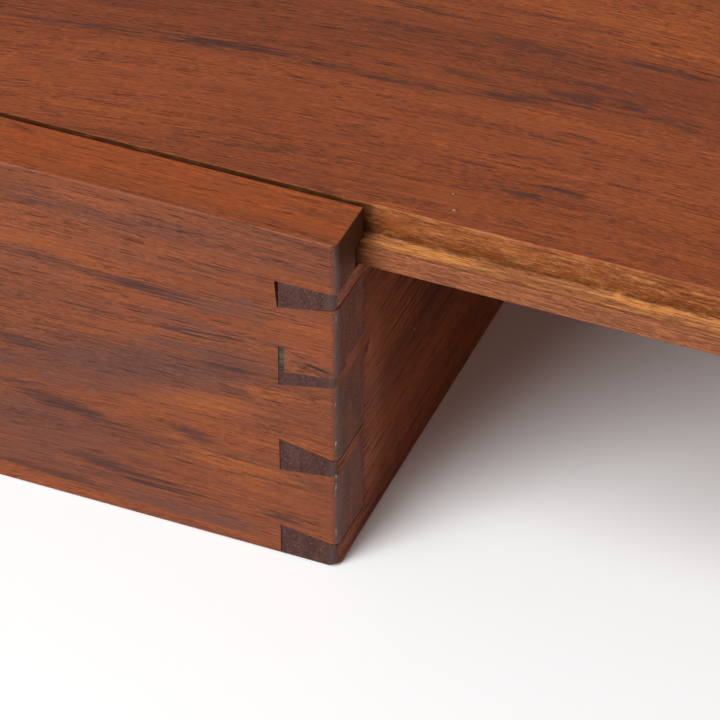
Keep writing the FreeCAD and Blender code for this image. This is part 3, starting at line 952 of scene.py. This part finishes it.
# each mark is given as along, across, length, width, degrees and strength
FRONT_TIMBER = Timber(
    name="oiled front side",
    warm=(0.222, 0.058, 0.020), cool=(0.136, 0.042, 0.023),
    smoke=(0.052, 0.022, 0.020), pore=(0.036, 0.011, 0.005),
    # the tint on the upper edge paints a difference in light: redder and brighter than the sides
    end_pale=(0.215, 0.062, 0.031), end_dark=(0.075, 0.024, 0.014), top_light_tint=(1.40, 1.14, 0.70),
    glow=(0.34, 0.092, 0.024), shade=(0.112, 0.044, 0.033),
    frame=GrainFrame.UPRIGHT_ALONG_BOX, seed=(3.0, 40.0, 7.0),
    streaks=(
        Mark(98.0, 43.8, 22.0, 2.6, 0.0, 0.85),
        Mark(104.0, 45.0, 15.0, 2.4, 2.0, 0.6),
        Mark(84.0, 44.3, 26.0, 2.0, -1.0, 0.6),
        Mark(115.0, 32.9, 16.0, 2.2, 2.0, 0.9),
        Mark(79.0, 27.8, 12.0, 2.4, 1.0, 0.85),
        Mark(87.5, 17.2, 33.0, 3.2, -9.0, 0.9),
        Mark(98.0, 7.3, 28.0, 2.6, -5.0, 0.85),
        Mark(84.0, 3.5, 24.0, 2.2, -2.0, 0.7),
        Mark(107.6, 18.5, 9.0, 3.0, -10.0, 0.75),
        Mark(121.4, 7.2, 8.0, 2.2, 4.0, 0.8),
        Mark(114.4, 29.0, 6.0, 2.0, 0.0, 0.6),
        Mark(108.6, 38.2, 20.0, 0.5, 6.0, 1.0),
        Mark(107.0, 37.4, 13.0, 0.45, 0.0, 1.0),
        Mark(92.0, 37.4, 16.0, 0.45, 0.0, 0.8),
        Mark(114.0, 35.4, 13.0, 0.4, 1.0, 0.8),
        Mark(114.0, 16.2, 18.0, 0.45, -1.0, 0.9),
        Mark(112.0, 51.0, 18.0, 0.5, 2.0, 0.8),
        Mark(103.0, 55.6, 20.0, 0.45, 4.0, 0.8),
        Mark(82.0, 54.5, 14.0, 0.5, 2.0, 0.8),
        Mark(98.0, 52.0, 5.0, 0.6, 0.0, 0.7),
    ),
    shades=(
        Mark(100.0, 29.0, 58.0, 12.0, 16.0, 0.85),
        Mark(112.0, 39.0, 34.0, 5.0, 0.0, 0.5),
        Mark(84.0, 11.5, 32.0, 16.0, -8.0, 0.6),
        Mark(103.0, 49.0, 30.0, 2.5, 2.0, 0.35),
        Mark(97.0, 55.0, 40.0, 5.0, 2.0, 0.35),
        Mark(112.0, 44.4, 26.0, 4.4, 2.0, 0.9),
        Mark(118.0, 25.0, 10.0, 10.0, 0.0, 0.2),
        Mark(83.0, 43.2, 22.0, 7.0, 2.0, 0.35),
        Mark(81.0, 18.0, 20.0, 12.0, 0.0, 0.45),
        Mark(103.0, 3.4, 36.0, 6.0, -2.0, 0.8),
        Mark(85.0, 6.0, 30.0, 9.0, 0.0, 0.55),
    ),
    glows=(
        Mark(86.0, 48.0, 26.0, 6.0, 2.0, 0.15),
        Mark(107.5, 25.6, 30.0, 5.4, 6.0, 0.65),
        Mark(114.0, 14.6, 24.0, 7.0, -8.0, 0.6),
        Mark(118.0, 30.3, 22.0, 3.0, 5.0, 0.5),
        Mark(93.0, 57.0, 20.0, 3.6, 0.0, 0.4),
    ),
    calms=(
        Mark(80.0, 11.0, 120.0, 34.0, -4.0, 0.3),
    ),
)
BACK_TIMBER = replace(
    FRONT_TIMBER, name="oiled back side", seed=(211.0, 90.0, 31.0), streaks=(), shades=(), glows=(), calms=(),
)
LID_TIMBER = LidTimber(
    name="oiled lid",
    warm=(0.270, 0.065, 0.020), cool=(0.195, 0.046, 0.016),
    smoke=(0.060, 0.022, 0.016), pore=(0.038, 0.013, 0.008),
    end_pale=(0.12, 0.045, 0.025), end_dark=(0.08, 0.03, 0.018), frame=GrainFrame.FLAT_ALONG_BOX,
    glow=(0.36, 0.090, 0.022), shade=(0.125, 0.030, 0.014),
    lean=0.06, sway=2.9, sway_length=200.0, sway_start=85.0, wander=6.0, pore_share=1.25, contrast=1.3,
    ragged=1.1, gloss=0.1,
    seed=(37.0, 12.0, 5.0),
    streaks=(
        Mark(95.2, -51.2, 25.0, 2.6, 8.5, 1.0),
        Mark(75.7, -54.2, 24.0, 1.5, 9.8, 0.75),
        Mark(115.9, -50.2, 24.0, 1.2, 1.0, 0.8),
        Mark(128.0, -49.5, 20.0, 1.2, 5.0, 0.75),
        Mark(141.4, -46.8, 14.0, 2.6, 8.0, 0.85),
        Mark(149.6, -43.8, 13.0, 3.0, 6.0, 0.75),
        Mark(149.0, -40.3, 7.0, 1.5, 5.0, 0.8),
        Mark(156.5, -42.9, 8.0, 2.4, -15.0, 0.7),
        Mark(164.5, -44.7, 14.0, 2.2, -6.0, 0.7),
        Mark(139.0, -34.2, 20.0, 3.4, -2.0, 0.6),
        Mark(158.0, -32.3, 17.0, 1.6, -1.0, 0.85),
        Mark(131.5, -44.5, 9.0, 1.7, -2.0, 0.75),
        Mark(118.5, -37.1, 22.0, 4.0, 5.0, 0.5),
        Mark(121.0, -31.3, 16.0, 1.2, 0.0, 0.7),
        Mark(155.4, -65.9, 9.0, 1.5, 0.0, 0.85),
        Mark(149.2, -68.6, 8.0, 1.7, 0.0, 0.8),
        Mark(111.0, -72.7, 20.0, 1.4, 12.0, 0.55),
        Mark(147.0, -60.2, 8.0, 0.9, 8.0, 0.8),
        Mark(155.5, -57.2, 7.0, 0.8, 2.0, 0.8),
        Mark(122.0, -78.2, 6.0, 1.6, 0.0, 0.6),
        Mark(114.0, -43.5, 9.0, 1.2, 2.0, 0.7),
        Mark(120.5, -46.6, 8.0, 1.0, 4.0, 0.7),
        Mark(141.0, -64.5, 9.0, 0.9, 4.0, 0.8),
        Mark(147.5, -55.0, 6.0, 0.8, 0.0, 0.8),
        Mark(152.0, -52.6, 7.0, 0.7, -4.0, 0.8),
        Mark(163.0, -61.5, 9.0, 0.9, -2.0, 0.8),
    ),
    shades=(
        Mark(146.0, -38.5, 42.0, 14.0, -4.0, 0.32),
        Mark(132.0, -57.0, 42.0, 12.0, 4.0, 0.25),
        Mark(108.0, -61.5, 24.0, 8.0, 8.0, 0.35),
        Mark(149.0, -67.2, 30.0, 4.5, -2.0, 0.5),
        Mark(82.0, -45.0, 90.0, 44.0, 8.0, 0.4),
        Mark(122.0, -62.0, 26.0, 10.0, 4.0, 0.2),
    ),
    glows=(
        Mark(168.0, -72.0, 100.0, 20.0, 0.0, 0.36),
        Mark(134.0, -78.2, 9.0, 1.2, 0.0, 0.9),
        Mark(158.0, -27.0, 44.0, 7.0, -1.0, 0.75),
        Mark(154.0, -20.0, 70.0, 14.0, 0.0, 0.6),
        Mark(124.0, -46.0, 20.0, 6.0, 2.0, 0.3),
        Mark(163.0, -47.5, 16.0, 3.4, 0.0, 0.3),
        Mark(86.0, -57.5, 42.0, 5.0, 8.0, 0.35),
        Mark(86.0, -73.0, 32.0, 5.0, 3.0, 0.35),
        Mark(148.0, -49.6, 14.0, 3.0, 0.0, 0.5),
        Mark(165.0, -67.5, 26.0, 3.0, 0.0, 0.45),
    ),
    specks=(
        Mark(140.45, -72.25, 0.42, 0.42, 0.0, 0.75),
        Mark(141.95, -75.75, 0.46, 0.4, 0.0, 0.7),
    ),
)
LOW_END_TIMBER = Timber(
    name="oiled low end board",
    warm=(0.235, 0.056, 0.018), cool=(0.130, 0.029, 0.010),
    smoke=(0.050, 0.018, 0.010), pore=(0.030, 0.010, 0.006),
    end_pale=(0.092, 0.042, 0.034), end_dark=(0.050, 0.021, 0.018),
    polish_and_sheen=(0.085, 0.050, 0.045), glow=(0.42, 0.145, 0.085), shade=(0.040, 0.007, 0.001),
    frame=GrainFrame.UPRIGHT_ACROSS_BOX, contrast=1.05, pore_share=1.1, gloss=0.05, seed=(11.0, 3.0, 60.0),
    streaks=(
        # painted shade in the hollow of a chip by a tail's edge
        Mark(-78.8, 34.0, 3.0, 1.6, 60.0, 1.0),
    ),
    # painted shade: the lid's shadow over the end board's face, drawn in the dark shade colour
    shades=(
        Mark(-40.0, 38.0, 68.0, 48.0, 0.0, 1.0),
    ),
    # painted light: the first five glows brighten the pins and the strip by the corner, where the lid's
    # shadow is weaker
    glows=(
        Mark(-85.0, 50.0, 16.0, 7.0, 0.0, 0.85),
        Mark(-85.0, 36.0, 13.0, 5.0, 0.0, 0.55),
        Mark(-85.0, 19.0, 13.0, 5.0, 0.0, 0.5),
        Mark(-85.0, 3.5, 13.0, 7.0, 0.0, 0.4),
        Mark(-77.0, 22.0, 11.0, 44.0, 0.0, 0.4),
        # painted highlight on the lit face of the same chip
        Mark(-77.6, 32.6, 3.0, 1.2, 50.0, 0.9),
    ),
)
HIGH_END_TIMBER = replace(
    LOW_END_TIMBER, name="oiled high end board", seed=(140.0, 33.0, 12.0), streaks=(), shades=(), glows=(),
)
PANEL_TIMBER = Timber(
    name="planed bottom panel",
    warm=(0.33, 0.125, 0.056), cool=(0.21, 0.075, 0.036),
    smoke=(0.12, 0.05, 0.03), pore=(0.06, 0.024, 0.015),
    end_pale=(0.16, 0.07, 0.04), end_dark=(0.1, 0.045, 0.028),
    frame=GrainFrame.FLAT_ALONG_BOX, wander=16.0, pore_share=0.6, seed=(71.0, 24.0, 9.0),
    roughness=0.58, gloss=0.22,
)
PATCH_TIMBER = Timber(
    name="let-in sliver",
    warm=(0.200, 0.060, 0.028), cool=(0.110, 0.034, 0.018),
    smoke=(0.040, 0.017, 0.012), pore=(0.02, 0.008, 0.006),
    end_pale=(0.11, 0.045, 0.03), end_dark=(0.07, 0.03, 0.02),
    frame=GrainFrame.UPRIGHT_ALONG_BOX, wander=20.0, pore_share=1.4, contrast=1.3, seed=(5.0, 8.0, 2.0),
    streaks=(
        Mark(126.5, 37.4, 6.5, 0.9, -12.0, 1.0),
        Mark(127.5, 36.3, 5.0, 0.7, -14.0, 0.9),
        Mark(124.5, 38.6, 3.5, 0.4, -10.0, 1.0),
        Mark(125.0, 36.8, 5.0, 0.4, -8.0, 0.9),
        Mark(127.0, 38.6, 4.0, 0.4, -16.0, 0.9),
        Mark(123.6, 37.4, 2.5, 0.4, -6.0, 0.8),
    ),
)
FILLER = Timber(
    name="joint filler",
    warm=(0.070, 0.052, 0.034), cool=(0.036, 0.026, 0.018),
    smoke=(0.03, 0.024, 0.018), pore=(0.02, 0.014, 0.010),
    end_pale=(0.10, 0.08, 0.055), end_dark=(0.06, 0.045, 0.03), glow=(0.070, 0.066, 0.045),
    frame=GrainFrame.UPRIGHT_ALONG_BOX, wander=4.0, pore_share=1.0, contrast=1.5, seed=(9.0, 1.0, 6.0),
    roughness=0.7, gloss=0.15,
    streaks=(
        Mark(121.4, 39.3, 2.0, 1.2, 0.0, 1.0),
        Mark(121.2, 35.2, 2.0, 0.9, 0.0, 1.0),
        Mark(121.0, 37.4, 0.5, 1.4, 0.0, 0.8),
    ),
    glows=(
        Mark(121.5, 37.8, 1.0, 2.6, 0.0, 0.9),
    ),
)


# ------------------------------------------------------------------ the box
@dataclass
class Assembly:
    """A group of boards and the timber of each."""

    timbers: Dict[str, Timber]

    def dress(self, nodes: Dict[str, bpy.types.Object], effects: Effects, case: CaseSize) -> None:
        """Give each board its material.

        Args:
            nodes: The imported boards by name.
            effects: The shared effects.
            case: Sizes that the wear follows.
        """
        for node, timber in self.timbers.items():
            material = timber.material(effects, case)
            for slot in nodes[node].material_slots:
                slot.material = material
            log.info("%s dressed in %s", node, timber.name)


@dataclass
class Case(Assembly):
    """Four dovetailed walls, the bottom panel and the repaired pin."""

    timbers: Dict[str, Timber] = field(default_factory=lambda: {
        "front_side": FRONT_TIMBER,
        "back_side": BACK_TIMBER,
        "low_end_board": LOW_END_TIMBER,
        "high_end_board": HIGH_END_TIMBER,
        "bottom_panel": PANEL_TIMBER,
        "pin_patch": PATCH_TIMBER,
        "joint_filler": FILLER,
    })


@dataclass
class Lid(Assembly):
    """The sliding lid."""

    timbers: Dict[str, Timber] = field(default_factory=lambda: {"sliding_lid": LID_TIMBER})


def measure_case() -> CaseSize:
    """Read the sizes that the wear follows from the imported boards.

    Returns:
        Sizes in millimetres.
    """
    low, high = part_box("front_side")
    lid_low, lid_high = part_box("sliding_lid")
    tongue_reach = 3.3
    tongue_thickness = 3.4
    return CaseSize(
        half_length=high.x / MM,
        half_width=-low.y / MM,
        height=high.z / MM,
        lid_half=lid_high.y / MM - tongue_reach,
        lid_end=lid_low.x / MM + tongue_reach,
        tongue_top=lid_low.z / MM + tongue_thickness,
    )


# ------------------------------------------------------------------ studio
@dataclass
class Studio:
    """Pale floor, soft light and the camera, all set about the box's near lower corner."""

    corner: Vector
    floor_size: float = 12.0
    floor_colour: Colour = (0.9, 0.895, 0.885)
    floor_roughness: float = 0.9
    floor_gloss: float = 0.1
    lamp_azimuth: float = 25.0
    lamp_elevation: float = 42.0
    lamp_distance: float = 1.2
    lamp_width: float = 0.6
    lamp_height: float = 1.8
    lamp_power: float = 23.2
    lamp_colour: Colour = (0.972, 1.0, 1.01)
    sky_level: float = 0.21
    sky_colour: Colour = (1.0, 0.90, 0.86)
    camera_offset: Triple = (187.07, -443.03, 431.71)
    camera_azimuth: float = 22.5
    camera_elevation: float = 39.18
    lens: float = 218.35
    sensor: float = 36.0

    def build(self) -> None:
        """Make the floor, the light and the camera."""
        self.lay_floor()
        self.hang_lamp()
        self.light_sky()
        self.place_camera()

    def direction(self, azimuth: float, elevation: float) -> Vector:
        """Find a direction away from the box.

        Args:
            azimuth: Degrees from -Y towards +X.
            elevation: Degrees above the floor.

        Returns:
            Vector of length 1.
        """
        turn = math.radians(azimuth)
        lift = math.radians(elevation)
        return Vector((math.sin(turn) * math.cos(lift), -math.cos(turn) * math.cos(lift), math.sin(lift)))

    def seen_share(self, w: Wiring) -> Socket:
        """Find the rays that show the background directly, in a gloss or through glass.

        Args:
            w: Wiring of the floor's material or of the world.

        Returns:
            1 for such rays and 0 for the others.
        """
        path = w.node("ShaderNodeLightPath").outputs
        seen = w.maths("ADD", path["Is Camera Ray"], path["Is Glossy Ray"])
        return w.maths("ADD", seen, path["Is Transmission Ray"], clamp=True)

    def lay_floor(self) -> None:
        """Lay a wide plain floor under the box."""
        bpy.ops.object.select_all(action="DESELECT")
        bpy.ops.mesh.primitive_plane_add(size=self.floor_size)
        floor = bpy.context.object
        floor.name = "floor"
        material = bpy.data.materials.new("plain floor")
        material.use_nodes = True
        w = Wiring(material.node_tree)
        shader = material.node_tree.nodes["Principled BSDF"]
        shader.inputs["Roughness"].default_value = self.floor_roughness
        shader.inputs["Specular IOR Level"].default_value = self.floor_gloss
        w.feed(shader.inputs["Base Color"], w.blend(self.seen_share(w), self.floor_colour, WHITE))
        floor.data.materials.append(material)

    def hang_lamp(self) -> None:
        """Hang one broad soft lamp up and to the front left."""
        direction = self.direction(-self.lamp_azimuth, self.lamp_elevation)
        lamp = bpy.data.lights.new("soft lamp", "AREA")
        lamp.shape = "RECTANGLE"
        lamp.size = self.lamp_width
        lamp.size_y = self.lamp_height
        lamp.energy = self.lamp_power
        lamp.color = self.lamp_colour
        holder = bpy.data.objects.new("soft lamp", lamp)
        holder.location = self.corner + direction * self.lamp_distance
        holder.rotation_euler = direction.to_track_quat("Z", "Y").to_euler()
        bpy.context.scene.collection.objects.link(holder)

    def light_sky(self) -> None:
        """Give the surroundings an even pale level, white where they are seen."""
        world = bpy.data.worlds.new("pale room")
        bpy.context.scene.world = world
        world.use_nodes = True
        w = Wiring(world.node_tree)
        backdrop = world.node_tree.nodes["Background"]
        w.feed(backdrop.inputs["Color"], w.blend(self.seen_share(w), self.sky_colour, WHITE))
        level = w.maths("MULTIPLY_ADD", self.seen_share(w), 1.0 - self.sky_level, self.sky_level)
        w.feed(backdrop.inputs["Strength"], level)

    def place_camera(self) -> None:
        """Aim the camera down at the joint corner."""
        back = self.direction(self.camera_azimuth, self.camera_elevation)
        camera = bpy.data.cameras.new("camera")
        camera.sensor_width = self.sensor
        camera.lens = self.lens
        holder = bpy.data.objects.new("camera", camera)
        holder.location = self.corner + Vector(self.camera_offset) * MM
        holder.rotation_euler = (-back).to_track_quat("-Z", "Y").to_euler()
        bpy.context.scene.collection.objects.link(holder)
        bpy.context.scene.camera = holder


def main(frame: Dict[str, Any]) -> None:
    """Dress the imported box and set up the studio.
    """
    logging.basicConfig(level=logging.INFO, format="%(message)s")
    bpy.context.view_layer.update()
    case = measure_case()
    effects = Effects()
    for assembly in (Case(), Lid()):
        assembly.dress(frame["nodes"], effects, case)
    near_corner = Vector((case.half_length, -case.half_width, 0.0)) * MM
    Studio(corner=near_corner).build()
    bpy.context.scene.view_settings.view_transform = "Standard"


if __name__ == "__main__":
    main(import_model())
